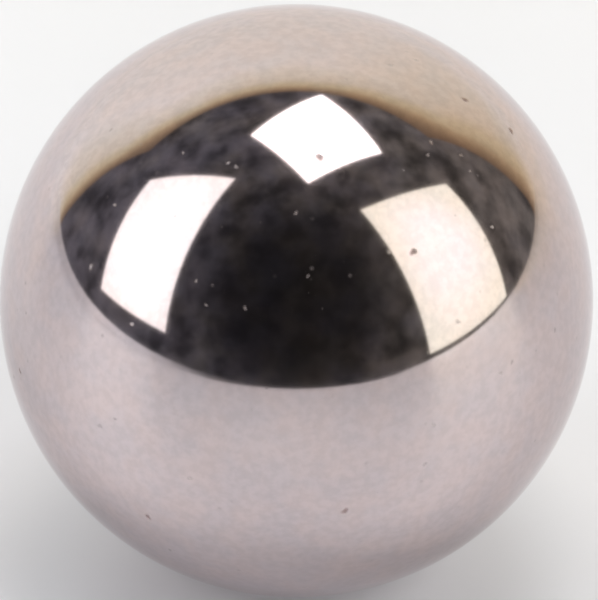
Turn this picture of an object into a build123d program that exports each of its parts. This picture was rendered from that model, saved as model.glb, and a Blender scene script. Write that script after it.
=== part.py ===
from build123d import *

import os

# A polished steel ball, forged, ground and lapped from one slug of bar: a single solid sphere with no
# seam, hole or flat. The origin is at the ball's centre, and +Z points up.

# Driving dimension, in millimetres: the half-inch size of bearing balls
ball_diameter = 12.7

# The ball is a half disc turned once around the Z axis
ball_radius = ball_diameter / 2

with BuildPart() as ball:
    with BuildSketch(Plane.XZ):
        with BuildLine():
            rim = CenterArc((0, 0), ball_radius, start_angle=-90, arc_size=180)
            Line(rim @ 1, rim @ 0)
        make_face()
    revolve(axis=Axis.Z)
ball.part.label = "ball"

os.makedirs("parts", exist_ok=True)
export_step(ball.part, "parts/ball.step")
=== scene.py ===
import collections
import math
import random

import bmesh
import bpy
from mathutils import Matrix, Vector, kdtree


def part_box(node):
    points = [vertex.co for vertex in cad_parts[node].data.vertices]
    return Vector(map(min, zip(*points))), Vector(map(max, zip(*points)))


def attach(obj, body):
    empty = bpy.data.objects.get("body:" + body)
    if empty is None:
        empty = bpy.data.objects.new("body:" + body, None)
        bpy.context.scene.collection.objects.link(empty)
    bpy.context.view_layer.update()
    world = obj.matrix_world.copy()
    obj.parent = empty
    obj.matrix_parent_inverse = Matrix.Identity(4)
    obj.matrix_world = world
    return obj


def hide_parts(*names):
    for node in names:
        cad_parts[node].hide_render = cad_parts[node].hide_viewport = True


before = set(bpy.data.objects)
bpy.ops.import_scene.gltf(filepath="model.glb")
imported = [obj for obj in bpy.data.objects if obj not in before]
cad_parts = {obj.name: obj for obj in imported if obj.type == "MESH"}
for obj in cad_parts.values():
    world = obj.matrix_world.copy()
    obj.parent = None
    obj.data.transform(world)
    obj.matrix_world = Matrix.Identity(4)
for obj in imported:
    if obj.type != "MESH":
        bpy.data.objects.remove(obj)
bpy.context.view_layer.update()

# A polished steel ball on a sheet of pale paper, lit by three softboxes and a white panel behind it. The
# ball is a mirror, so most of its look is what stands around it: the lights are placed by where they show
# in it.

Lamp = collections.namedtuple("Lamp", "place aim size watts colour spread")
Mark = collections.namedtuple("Mark", "place radius depth pit speck turn")
Softbox = collections.namedtuple("Softbox", "corners strength middle edge")

# The ball's own size, in metres, from the frame
BALL_LOW, BALL_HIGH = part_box("ball")
BALL_RADIUS = (BALL_HIGH.z - BALL_LOW.z) / 2

# The picture's frame and the ball's outline in it, in pixels
FRAME_WIDTH, FRAME_HEIGHT = 598, 600
OUTLINE_CENTRE = (296.5, 300.7)
OUTLINE_RADIUS = 296.8
PIXEL_SIZE = BALL_RADIUS / OUTLINE_RADIUS

# The camera: its distance in metres, its height in degrees, its sensor in millimetres, and how many times
# nearer and farther than the ball it still sees things
CAMERA_DISTANCE = 0.26
CAMERA_ELEVATION = 33.8
SENSOR_WIDTH = 36.0
CLIP_RATIO = 100

# The mesh of the ball: cells along each side of its six fields, and how far round a mark each finer
# level of cells reaches, in radii of the mark
FIELD_CELLS = 80
REFINE_REACHES = (2.0, 1.6, 1.3)

# Marks on the near side: the pixel where each one shows, and its width in pixels. Pits are brown inside,
# and specks are dull.
PITS = (
    (148, 517, 10), (20, 371, 8), (345, 511, 10), (465, 100, 10), (511, 131, 10), (320, 158, 12),
    (413, 252, 10), (594, 292, 7),
)
SPECKS = (
    (91, 267, 9), (14, 377, 6), (416, 60, 8), (391, 65, 8), (458, 322, 8), (434, 425, 6),
    (425, 464, 6), (555, 330, 6), (512, 362, 6), (501, 373, 6), (111, 130, 6), (115, 205, 6),
    (132, 324, 6), (228, 163, 6), (236, 167, 6), (183, 153, 5), (296, 213, 6), (308, 276, 5),
    (245, 308, 6), (431, 142, 7), (428, 155, 6), (461, 155, 6), (470, 171, 5), (492, 227, 6),
    (115, 419, 5), (100, 426, 7), (190, 478, 7), (170, 550, 7), (196, 281, 5), (206, 305, 5),
)
FAR_MARK_COUNT = 50
FAR_MARK_WIDTHS = (6, 10)
MARK_SEED = 7

# Depth of a mark as a share of its radius, how strongly it shows, and how softly it fades outward
PIT_DEPTH, PIT_SHOWS = 0.06, 0.75
SPECK_DEPTH, SPECK_SHOWS = 0.02, 0.4
MARK_FADE = 0.75

# The lobes of a mark's outline: how many there are round it, and how far they swell
MARK_LOBES = ((2, 0.2), (3, 0.1))

# Softboxes: where the four corners show in the ball, in pixels, the strength of the light, and its colour
# in the middle and at the rim. All stand equally far off, in metres, and turn from one colour to the
# other over the same span from their middle, in shares of their side.
SOFTBOX_DISTANCE = 0.9
SOFTBOX_RIM = (0.1, 0.6)
SOFTBOXES = {
    "top_softbox": Softbox(
        ((251.0, 135.2), (321.5, 94.8), (381.8, 153.0), (308.2, 183.2)), 4.0, (1, 1, 1),
        (1, 0.98, 0.96)),
    "left_softbox": Softbox(
        ((150.0, 180.3), (235.3, 178.7), (165.2, 332.6), (101.1, 288.7)), 2.45, (1, 1, 1),
        (0.76, 0.75, 0.74)),
    "right_softbox": Softbox(
        ((360.5, 210.0), (446.0, 184.0), (506.5, 296.0), (430.2, 354.0)), 1.88, (1, 0.985, 0.95),
        (0.84, 0.85, 0.73)),
}

# The white panel behind the ball, in metres. Its light fades over these shares of its width or height, and
# goes through these colours from its free edges inward. Its tint goes from left to right by shares of the
# width. Its foot curves into the table and turns to its own colour over a span of its height, where below
# zero is the curve. Its light runs out over the table, from where the ball sees the table at this slope.
PANEL_DISTANCE = 0.6
PANEL_LEFT, PANEL_RIGHT, PANEL_TOP = -1.10, 0.90, 0.95
PANEL_FOOT_RADIUS, PANEL_FOOT_STEPS = 0.1, 16
LEFT_FADE, RIGHT_FADE, TOP_FADE = 0.306, 0.4, 0.5
PANEL_STRENGTH = 1.225
PANEL_FADE = (
    (0.0, (0.20, 0.145, 0.10)), (0.10, (0.36, 0.27, 0.17)), (0.18, (0.51, 0.40, 0.25)),
    (0.25, (0.66, 0.57, 0.37)), (0.34, (0.74, 0.67, 0.46)), (0.48, (0.83, 0.78, 0.63)),
    (0.75, (0.93, 0.90, 0.77)), (1.0, (0.985, 0.968, 0.885)),
)
PANEL_TINTS = ((0.3, (0.90, 0.92, 0.965)), (0.55, (0.86, 0.86, 0.86)), (0.85, (0.85, 0.82, 0.79)))
PANEL_FOOT_COLOUR, PANEL_FOOT_SPAN = (0.98, 0.965, 0.90), (0.15, -0.8)
PANEL_RUN_OUT = 0.13

# The table under its sheet of paper, in metres: how wide it is, how far it comes forward, and how high the
# paper rises along its sides, from where on. Its colour is a painted tint of light, cooler on the left and
# brighter and warmer towards the back. It goes from left to right over one stretch, and from front to back
# over another.
TABLE_HALF_WIDTH, TABLE_FRONT = 0.7, -2.0
TABLE_BACK = PANEL_DISTANCE - PANEL_FOOT_RADIUS
CURL_START, CURL_STEPS = 0.5, 8
LEFT_CURL, RIGHT_CURL = 0.030, 0.016
TABLE_FRONT_PAINTED_TINTS = ((0.78, 0.81, 0.87), (0.78, 0.79, 0.825))
TABLE_BACK_PAINTED_TINTS = ((0.82, 0.85, 0.92), (0.86, 0.83, 0.775))
TABLE_LEFT_TO_RIGHT, TABLE_FRONT_TO_BACK = (-0.1, 0.1), (0.0, 0.08)
TABLE_ROUGHNESS = 0.42
TABLE_IOR = 1.5

# Lamps that the ball doesn't mirror: where each one is and what it points at, in metres, its size, its
# power in watts, its colour, and how wide its beam is in degrees
LAMPS = {
    "front_fill": Lamp((0, -0.87, 0.23), (0, 0, 0), 0.6, 3.58, (1.0, 0.94, 0.90), 180),
    "right_fill": Lamp((0.64, -0.37, 0.516), (0, 0, 0), 0.6, 3.08, (1, 1, 1), 180),
    "left_wash": Lamp((-0.15, 0.03, 0.35), (-0.15, 0.03, 0), 0.15, 0.047, (0.88, 0.95, 1.0), 85),
    "back_wash": Lamp((0, 0.12, 0.4), (0, 0.12, 0), 0.15, 0.0113, (1.0, 0.60, 0.25), 35),
}

# The dim room: its level against the cosine of the angle from the camera, its tint on either side and how
# far the two drift into each other, and the vague shapes in it, which are fainter in the middle. The shift
# picks a part of the noise.
ROOM_LEVELS = (
    (0.0, 0.157), (0.3, 0.132), (0.6, 0.113), (0.8, 0.065), (0.9, 0.030), (1.0, 0.0205),
)
ROOM_LEFT_TINT, ROOM_RIGHT_TINT = (0.66, 0.67, 0.79), (0.92, 0.88, 0.81)
ROOM_TINT_SCALE, ROOM_TINT_DETAIL, ROOM_TINT_DRIFT = 4, 2, 0.6
ROOM_SHAPE_SCALE, ROOM_SHAPE_DETAIL, ROOM_SHAPE_STRENGTH = 7, 5, 0.62
ROOM_SHAPE_SHIFT = (-2.0, 5.2, 1.8)
ROOM_MIDDLE, ROOM_MIDDLE_STRENGTH = (0.7, 0.95), 0.25

# Noise hardly leaves this span, so it is stretched from here
NOISE_SPAN = (0.3, 0.7)

# The colour sockets of Blender's Mix node: its two inputs and its output, which have to go by number
MIX_FIRST, MIX_SECOND, MIX_RESULT = 6, 7, 2

# Steel: its two faintly different colours and how many of their patches there are to the metre, its colour
# at a grazing angle, its fine grain, and its roughness where it is polished and in a mark
STEEL_PINK, STEEL_GREY = (0.627, 0.525, 0.516), (0.587, 0.512, 0.520)
PATCH_SCALE, PATCH_DETAIL = 1300, 3
STEEL_EDGE = (0.89, 0.88, 0.89)
GRAIN_SCALE, GRAIN_DETAIL, GRAIN_LEVELS = 5000, 3, (0.945, 1.04)
POLISHED, DULL = 0.07, 0.6

# Marks and dust: the colour of a pit and of a speck, how much of a metal a speck is, how many grains of
# dust there are to the metre, how wide they are as a share of their spacing, how rare the strong ones are,
# and how strongly they show
PIT_COLOUR, SPECK_COLOUR = (0.285, 0.195, 0.185), (0.345, 0.315, 0.30)
SPECK_METALLIC = 0.5
DUST_SCALE, DUST_WIDTHS = 2500, (0.08, 0.2)
DUST_RARITY, DUST_SHOWS = 2.0, 0.3


def camera_axes():
    """The camera's right, up and backward directions."""
    tilt = math.radians(CAMERA_ELEVATION)
    right = Vector((1, 0, 0))
    up = Vector((0, math.sin(tilt), math.cos(tilt)))
    back = Vector((0, -math.cos(tilt), math.sin(tilt)))
    return right, up, back


def focal_pixels():
    """The focal length in pixels that gives the ball its outline's radius."""
    half_angle = math.asin(BALL_RADIUS / CAMERA_DISTANCE)
    return OUTLINE_RADIUS / math.tan(half_angle)


def sight(pixel):
    """Where the line of sight through a pixel meets the ball, and which way it is mirrored there."""
    right, up, back = camera_axes()
    eye = back * CAMERA_DISTANCE
    across = (pixel[0] - OUTLINE_CENTRE[0]) / focal_pixels()
    above = (OUTLINE_CENTRE[1] - pixel[1]) / focal_pixels()
    line = (right * across + up * above - back).normalized()
    along = -eye.dot(line)
    inside = max(0.0, BALL_RADIUS ** 2 - (eye.length_squared - along ** 2))
    point = eye + line * (along - math.sqrt(inside))
    normal = point.normalized()
    mirrored = line - normal * (2 * line.dot(normal))
    return point, mirrored


def make_camera():
    """A long lens at the photograph's height, with the ball's outline where the photograph has it."""
    right, up, back = camera_axes()
    data = bpy.data.cameras.new("camera")
    camera = bpy.data.objects.new("camera", data)
    bpy.context.scene.collection.objects.link(camera)
    long_side = max(FRAME_WIDTH, FRAME_HEIGHT)
    data.sensor_width = SENSOR_WIDTH
    data.lens = SENSOR_WIDTH * focal_pixels() / long_side
    data.shift_x = (FRAME_WIDTH / 2 - OUTLINE_CENTRE[0]) / long_side
    data.shift_y = (OUTLINE_CENTRE[1] - FRAME_HEIGHT / 2) / long_side
    data.clip_start = CAMERA_DISTANCE / CLIP_RATIO
    data.clip_end = CAMERA_DISTANCE * CLIP_RATIO
    camera.location = back * CAMERA_DISTANCE
    camera.rotation_mode = "QUATERNION"
    camera.rotation_quaternion = back.to_track_quat("Z", "Y")
    bpy.context.scene.camera = camera


def new_material(name):
    """A node material with no nodes yet, and its node tree."""
    material = bpy.data.materials.new(name)
    material.use_nodes = True
    material.node_tree.nodes.clear()
    return material, material.node_tree


def add_node(tree, kind, inputs=None, **settings):
    """One node with its settings and socket values. A value that is a socket is linked."""
    made = tree.nodes.new(kind)
    for key, value in settings.items():
        setattr(made, key, value)
    for key, value in (inputs or {}).items():
        if isinstance(value, bpy.types.NodeSocket):
            tree.links.new(value, made.inputs[key])
        else:
            made.inputs[key].default_value = value
    return made


def map_range(tree, value, start, end, low=0.0, high=1.0, kind="SMOOTHSTEP"):
    """A rise from low to high as the value goes from start to end, held level outside them."""
    rise = add_node(
        tree, "ShaderNodeMapRange",
        {"Value": value, "From Min": start, "From Max": end, "To Min": low, "To Max": high},
        interpolation_type=kind,
    )
    return rise.outputs["Result"]


def calculate(tree, operation, first, second):
    """Two values put together by a math operation."""
    return add_node(tree, "ShaderNodeMath", {0: first, 1: second}, operation=operation).outputs["Value"]


def mix_colours(tree, share, first, second, blend="MIX"):
    """The first colour with a share of the second blended in."""
    inputs = {"Factor": share}
    for socket, colour in ((MIX_FIRST, first), (MIX_SECOND, second)):
        inputs[socket] = colour if isinstance(colour, bpy.types.NodeSocket) else (*colour, 1)
    mixed = add_node(tree, "ShaderNodeMix", inputs, data_type="RGBA", blend_type=blend)
    return mixed.outputs[MIX_RESULT]


def colour_ramp(tree, value, stops):
    """Colours that follow a value through a row of places and colours."""
    ramp = add_node(tree, "ShaderNodeValToRGB", {"Fac": value})
    elements = ramp.color_ramp.elements
    elements.remove(elements[-1])
    elements[0].position = stops[0][0]
    elements[0].color = (*stops[0][1], 1)
    for place, colour in stops[1:]:
        elements.new(place).color = (*colour, 1)
    return ramp.outputs["Color"]


def noise(tree, place, scale, detail, low=0.0, high=1.0):
    """Soft noise with so many waves to the unit, stretched to go from low to high."""
    made = add_node(tree, "ShaderNodeTexNoise", {"Vector": place, "Scale": scale, "Detail": detail})
    return map_range(tree, made.outputs["Fac"], *NOISE_SPAN, low, high)


def mesh_object(name, points, faces, uv=None):
    """A mesh object from points and faces, with an optional UV pair for each point."""
    mesh = bpy.data.meshes.new(name)
    mesh.from_pydata([tuple(point) for point in points], [], faces)
    if uv:
        layer = mesh.uv_layers.new(name="UVMap")
        for loop in mesh.loops:
            layer.data[loop.index].uv = uv[loop.vertex_index]
    made = bpy.data.objects.new(name, mesh)
    bpy.context.scene.collection.objects.link(made)
    return made


def strip_faces(rungs):
    """The faces of a strip whose points come in pairs, one pair for each rung."""
    starts = range(0, 2 * (rungs - 1), 2)
    return [(start, start + 1, start + 3, start + 2) for start in starts]


def softbox_material(name, box):
    """A glowing cloth that dims from its middle towards its rim."""
    material, tree = new_material(name)
    coords = add_node(tree, "ShaderNodeTexCoord")
    from_middle = add_node(
        tree, "ShaderNodeVectorMath",
        {0: coords.outputs["UV"], 1: (0.5, 0.5, 0)}, operation="DISTANCE",
    )
    rim = map_range(tree, from_middle.outputs["Value"], *SOFTBOX_RIM)
    colour = mix_colours(tree, rim, box.middle, box.edge)
    light = add_node(tree, "ShaderNodeEmission", {"Color": colour, "Strength": box.strength})
    add_node(tree, "ShaderNodeOutputMaterial", {"Surface": light.outputs["Emission"]})
    return material


def make_softbox(name, box):
    """A flat light whose corners show in the ball at the given pixels."""
    sights = [sight(pixel) for pixel in box.corners]
    aim = sum((mirrored for _, mirrored in sights), Vector()).normalized()
    points = []
    for point, mirrored in sights:
        reach = (SOFTBOX_DISTANCE - point.dot(aim)) / mirrored.dot(aim)
        points.append(point + mirrored * reach)
    made = mesh_object(name, points, [(0, 1, 2, 3)], [(0, 1), (1, 1), (1, 0), (0, 0)])
    made.data.materials.append(softbox_material(name, box))


def panel_sides(tree, across):
    """How far in from the panel's left and right edges a place is, as a share of the fade there."""
    left = map_range(tree, across, 0, LEFT_FADE, kind="LINEAR")
    right = map_range(tree, across, 1, 1 - RIGHT_FADE, kind="LINEAR")
    return calculate(tree, "MULTIPLY", left, right)


def panel_light(tree, across, above):
    """The panel's light, which dims and warms towards its free edges. Below zero is its curved foot."""
    sides = panel_sides(tree, across)
    top = map_range(tree, above, 1, 1 - TOP_FADE, kind="LINEAR")
    colour = colour_ramp(tree, calculate(tree, "MULTIPLY", sides, top), PANEL_FADE)
    foot = calculate(tree, "MULTIPLY", map_range(tree, above, *PANEL_FOOT_SPAN), sides)
    colour = mix_colours(tree, foot, colour, PANEL_FOOT_COLOUR)
    colour = mix_colours(tree, 1.0, colour, colour_ramp(tree, across, PANEL_TINTS), "MULTIPLY")
    light = add_node(tree, "ShaderNodeEmission", {"Color": colour, "Strength": PANEL_STRENGTH})
    return light.outputs["Emission"]


def panel_material():
    """White cloth that glows."""
    material, tree = new_material("panel")
    coords = add_node(tree, "ShaderNodeTexCoord")
    parts = add_node(tree, "ShaderNodeSeparateXYZ", {"Vector": coords.outputs["UV"]})
    light = panel_light(tree, parts.outputs["X"], parts.outputs["Y"])
    add_node(tree, "ShaderNodeOutputMaterial", {"Surface": light})
    return material


def make_panel():
    """The white panel behind the ball, which curves at its foot into the table."""
    base, radius = BALL_LOW.z, PANEL_FOOT_RADIUS
    profile = []
    for step in range(PANEL_FOOT_STEPS + 1):
        share = step / PANEL_FOOT_STEPS
        turn = math.pi / 2 * share
        along = PANEL_DISTANCE - radius * (1 - math.sin(turn))
        profile.append((along, base + radius * (1 - math.cos(turn)), share - 1))
    profile.append((PANEL_DISTANCE, PANEL_TOP, 1))
    points, uv = [], []
    for along, height, above in profile:
        points += [(PANEL_LEFT, along, height), (PANEL_RIGHT, along, height)]
        uv += [(0, above), (1, above)]
    panel = mesh_object("panel", points, strip_faces(len(profile)), uv)
    panel.data.shade_smooth()
    panel.data.materials.append(panel_material())


def table_material():
    """Pale paper with a soft sheen and a painted tint of light, cooler on the left and brighter and warmer
    towards the back. It glows with the panel's light towards its end.
    """
    material, tree = new_material("table")
    place = add_node(tree, "ShaderNodeTexCoord").outputs["Object"]
    parts = add_node(tree, "ShaderNodeSeparateXYZ", {"Vector": place})
    across, along = parts.outputs["X"], parts.outputs["Y"]
    rightward = map_range(tree, across, *TABLE_LEFT_TO_RIGHT)
    backward = map_range(tree, along, *TABLE_FRONT_TO_BACK)
    # The paper's colour is a painted tint of light: cool on the left, brighter and warmer towards the
    # back.
    front = mix_colours(tree, rightward, *TABLE_FRONT_PAINTED_TINTS)
    behind = mix_colours(tree, rightward, *TABLE_BACK_PAINTED_TINTS)
    colour = mix_colours(tree, backward, front, behind)
    paper = add_node(
        tree, "ShaderNodeBsdfPrincipled",
        {"Base Color": colour, "Roughness": TABLE_ROUGHNESS, "IOR": TABLE_IOR},
    )
    slope = calculate(tree, "DIVIDE", BALL_RADIUS, calculate(tree, "MAXIMUM", along, BALL_RADIUS))
    reach = calculate(tree, "MULTIPLY", slope, TABLE_BACK / BALL_RADIUS)
    beyond = calculate(tree, "MULTIPLY", across, reach)
    on_panel = map_range(tree, beyond, PANEL_LEFT, PANEL_RIGHT, kind="LINEAR")
    run_out = map_range(tree, slope, PANEL_RUN_OUT, BALL_RADIUS / TABLE_BACK)
    run_out = calculate(tree, "MULTIPLY", run_out, panel_sides(tree, on_panel))
    surface = add_node(
        tree, "ShaderNodeMixShader",
        {0: run_out, 1: paper.outputs["BSDF"], 2: panel_light(tree, on_panel, -1.0)},
    )
    add_node(tree, "ShaderNodeOutputMaterial", {"Surface": surface.outputs["Shader"]})
    return material


def curl(side, rise):
    """The table's profile from its flat middle out to one side, where the paper rises."""
    profile = []
    for step in range(CURL_STEPS + 1):
        share = step / CURL_STEPS
        across = CURL_START + (TABLE_HALF_WIDTH - CURL_START) * share
        profile.append((side * across, BALL_LOW.z + rise * share ** 2))
    return profile


def make_table():
    """The table under the ball, up to the foot of the panel."""
    profile = curl(-1, LEFT_CURL)[::-1] + curl(1, RIGHT_CURL)
    points = []
    for across, height in profile:
        points += [(across, TABLE_BACK, height), (across, TABLE_FRONT, height)]
    table = mesh_object("table", points, strip_faces(len(profile)))
    table.data.shade_smooth()
    table.data.materials.append(table_material())


def make_lamp(name, lamp):
    """A soft square lamp that lights the table and doesn't show in the ball."""
    data = bpy.data.lights.new(name, "AREA")
    data.shape = "SQUARE"
    data.size = lamp.size
    data.energy = lamp.watts
    data.color = lamp.colour
    data.spread = math.radians(lamp.spread)
    made = bpy.data.objects.new(name, data)
    bpy.context.scene.collection.objects.link(made)
    place = Vector(lamp.place)
    made.location = place
    made.rotation_mode = "QUATERNION"
    made.rotation_quaternion = (place - Vector(lamp.aim)).to_track_quat("Z", "Y")
    made.visible_glossy = False


def make_room():
    """The dim room around the table, darkest in front."""
    world = bpy.data.worlds.new("room")
    bpy.context.scene.world = world
    world.use_nodes = True
    tree = world.node_tree
    tree.nodes.clear()
    direction = add_node(tree, "ShaderNodeTexCoord").outputs["Generated"]
    facing = add_node(
        tree, "ShaderNodeVectorMath", {0: direction, 1: camera_axes()[2]}, operation="DOT_PRODUCT",
    ).outputs["Value"]
    level = colour_ramp(tree, facing, [(at, (grey, grey, grey)) for at, grey in ROOM_LEVELS])
    across = add_node(tree, "ShaderNodeSeparateXYZ", {"Vector": direction}).outputs["X"]
    drift = noise(
        tree, direction, ROOM_TINT_SCALE, ROOM_TINT_DETAIL, -ROOM_TINT_DRIFT, ROOM_TINT_DRIFT,
    )
    side = map_range(tree, calculate(tree, "ADD", across, drift), -1, 1)
    tint = mix_colours(tree, side, ROOM_LEFT_TINT, ROOM_RIGHT_TINT)
    colour = mix_colours(tree, 1.0, level, tint, "MULTIPLY")
    shifted = add_node(
        tree, "ShaderNodeVectorMath", {0: direction, 1: ROOM_SHAPE_SHIFT}, operation="ADD",
    ).outputs["Vector"]
    shapes = noise(tree, shifted, ROOM_SHAPE_SCALE, ROOM_SHAPE_DETAIL, -1, 1)
    sway = map_range(tree, facing, *ROOM_MIDDLE, ROOM_SHAPE_STRENGTH, ROOM_MIDDLE_STRENGTH)
    strength = calculate(tree, "ADD", calculate(tree, "MULTIPLY", shapes, sway), 1.0)
    room = add_node(tree, "ShaderNodeBackground", {"Color": colour, "Strength": strength})
    add_node(tree, "ShaderNodeOutputWorld", {"Surface": room.outputs["Background"]})


def make_mark(place, width, is_pit, turn):
    """A pit or a speck at a place on the ball, with its width in pixels."""
    radius = width / 2 * PIXEL_SIZE
    if is_pit:
        return Mark(place, radius, radius * PIT_DEPTH, PIT_SHOWS, 0, turn)
    return Mark(place, radius, radius * SPECK_DEPTH, 0, SPECK_SHOWS, turn)


def near_marks(dice):
    """The marks placed by pixels."""
    marks = []
    for pixels in (PITS, SPECKS):
        for across, down, width in pixels:
            place = sight((across, down))[0]
            marks.append(make_mark(place, width, pixels is PITS, dice.uniform(0, math.tau)))
    return marks


def far_marks(dice):
    """Like marks scattered over the side that the camera doesn't see."""
    back = camera_axes()[2]
    pit_share = len(PITS) / (len(PITS) + len(SPECKS))
    marks = []
    while len(marks) < FAR_MARK_COUNT:
        place = Vector(dice.gauss(0, 1) for _ in range(3)).normalized() * BALL_RADIUS
        if place.dot(back) > 0:
            continue
        width = dice.uniform(*FAR_MARK_WIDTHS)
        is_pit = dice.random() < pit_share
        marks.append(make_mark(place, width, is_pit, dice.uniform(0, math.tau)))
    return marks


def refine(shell, marks, tree):
    """Divides the cells round each mark, finer and finer towards it. The edges keep their order."""
    for reach in REFINE_REACHES:
        edges = {}
        for face in shell.faces:
            middle = face.calc_center_median()
            _, index, gap = tree.find(middle)
            size = (face.verts[0].co - middle).length
            if gap < marks[index].radius * reach + size:
                edges.update(dict.fromkeys(face.edges))
        bmesh.ops.subdivide_edges(
            shell, edges=list(edges), cuts=1, use_grid_fill=True, use_single_edge=True,
        )
        for vertex in shell.verts:
            vertex.co = vertex.co.normalized() * BALL_RADIUS
    many_sided = [face for face in shell.faces if len(face.verts) > 4]
    bmesh.ops.triangulate(shell, faces=many_sided, ngon_method="BEAUTY")


def mark_shape(point, mark):
    """How deep the mark is at a point of the ball, as a share, and the surface's normal there."""
    normal = point.normalized()
    apart = point - mark.place
    outward = apart - normal * apart.dot(normal)
    side = mark.place.orthogonal().normalized()
    angle = math.atan2(outward.dot(side.cross(normal)), outward.dot(side)) + mark.turn
    radius = mark.radius * (1 + sum(swell * math.sin(count * angle) for count, swell in MARK_LOBES))
    gone = apart.length / radius
    if gone >= 1:
        return 0.0, normal
    share = (1 - gone ** 2) ** 2
    slope = 4 * gone * (1 - gone ** 2) * mark.depth / radius
    return share, (normal - outward.normalized() * slope).normalized()


def dust_amount(tree, place):
    """Fine grains of dust, most of them faint."""
    cells = add_node(tree, "ShaderNodeTexVoronoi", {"Vector": place, "Scale": DUST_SCALE})
    chance = add_node(tree, "ShaderNodeSeparateColor", {"Color": cells.outputs["Color"]})
    width = map_range(tree, chance.outputs["Red"], 0, 1, *DUST_WIDTHS)
    gone = calculate(tree, "DIVIDE", cells.outputs["Distance"], width)
    grains = map_range(tree, gone, 1, 0, 0, DUST_SHOWS)
    strong = calculate(tree, "POWER", chance.outputs["Green"], DUST_RARITY)
    return calculate(tree, "MULTIPLY", grains, strong)


def steel_material():
    """Polished steel: faintly mottled, with fine dust, dull specks and small brown pits."""
    material, tree = new_material("polished_steel")
    place = add_node(tree, "ShaderNodeTexCoord").outputs["Object"]
    colour = mix_colours(tree, noise(tree, place, PATCH_SCALE, PATCH_DETAIL), STEEL_PINK, STEEL_GREY)
    grain = noise(tree, place, GRAIN_SCALE, GRAIN_DETAIL, *GRAIN_LEVELS)
    grey = add_node(tree, "ShaderNodeCombineColor", {"Red": grain, "Green": grain, "Blue": grain})
    colour = mix_colours(tree, 1.0, colour, grey.outputs["Color"], "MULTIPLY")

    pit = add_node(tree, "ShaderNodeAttribute", attribute_name="pit").outputs["Fac"]
    speck = add_node(tree, "ShaderNodeAttribute", attribute_name="speck").outputs["Fac"]
    speck = calculate(tree, "MAXIMUM", speck, dust_amount(tree, place))
    colour = mix_colours(tree, pit, colour, PIT_COLOUR)
    colour = mix_colours(tree, speck, colour, SPECK_COLOUR)
    metallic = map_range(tree, speck, 0, 1, 1.0, SPECK_METALLIC, kind="LINEAR")
    dulled = calculate(tree, "MAXIMUM", pit, speck)
    roughness = map_range(tree, dulled, 0, 1, POLISHED, DULL, kind="LINEAR")
    steel = add_node(
        tree, "ShaderNodeBsdfPrincipled",
        {"Base Color": colour, "Metallic": metallic, "Roughness": roughness,
         "Specular Tint": (*STEEL_EDGE, 1)},
    )
    add_node(tree, "ShaderNodeOutputMaterial", {"Surface": steel.outputs["BSDF"]})
    return material


def make_ball():
    """The ball as six curved fields of even cells, with its marks sunk into it."""
    dice = random.Random(MARK_SEED)
    marks = near_marks(dice) + far_marks(dice)
    tree = kdtree.KDTree(len(marks))
    for index, mark in enumerate(marks):
        tree.insert(mark.place, index)
    tree.balance()

    shell = bmesh.new()
    bmesh.ops.create_cube(shell, size=2)
    bmesh.ops.subdivide_edges(shell, edges=shell.edges[:], cuts=FIELD_CELLS - 1, use_grid_fill=True)
    for vertex in shell.verts:
        spread = Vector(math.tan(part * math.pi / 4) for part in vertex.co)
        vertex.co = spread.normalized() * BALL_RADIUS
    refine(shell, marks, tree)
    pits, specks, normals = [], [], []
    for vertex in shell.verts:
        mark = marks[tree.find(vertex.co)[1]]
        share, normal = mark_shape(vertex.co, mark)
        vertex.co -= vertex.co.normalized() * (mark.depth * share)
        pits.append(mark.pit * share ** MARK_FADE)
        specks.append(mark.speck * share ** MARK_FADE)
        normals.append(normal)

    mesh = bpy.data.meshes.new("polished_ball")
    shell.to_mesh(mesh)
    shell.free()
    mesh.shade_smooth()
    for name, values in (("pit", pits), ("speck", specks)):
        mesh.attributes.new(name, "FLOAT", "POINT").data.foreach_set("value", values)
    mesh.normals_split_custom_set_from_vertices(normals)
    ball = bpy.data.objects.new("polished_ball", mesh)
    bpy.context.scene.collection.objects.link(ball)
    mesh.materials.append(steel_material())
    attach(ball, "root")
    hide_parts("ball")


make_camera()
make_room()
make_table()
make_panel()
for softbox_name, softbox in SOFTBOXES.items():
    make_softbox(softbox_name, softbox)
for lamp_name, lamp_values in LAMPS.items():
    make_lamp(lamp_name, lamp_values)
make_ball()

bpy.context.scene.view_settings.view_transform = "Standard"
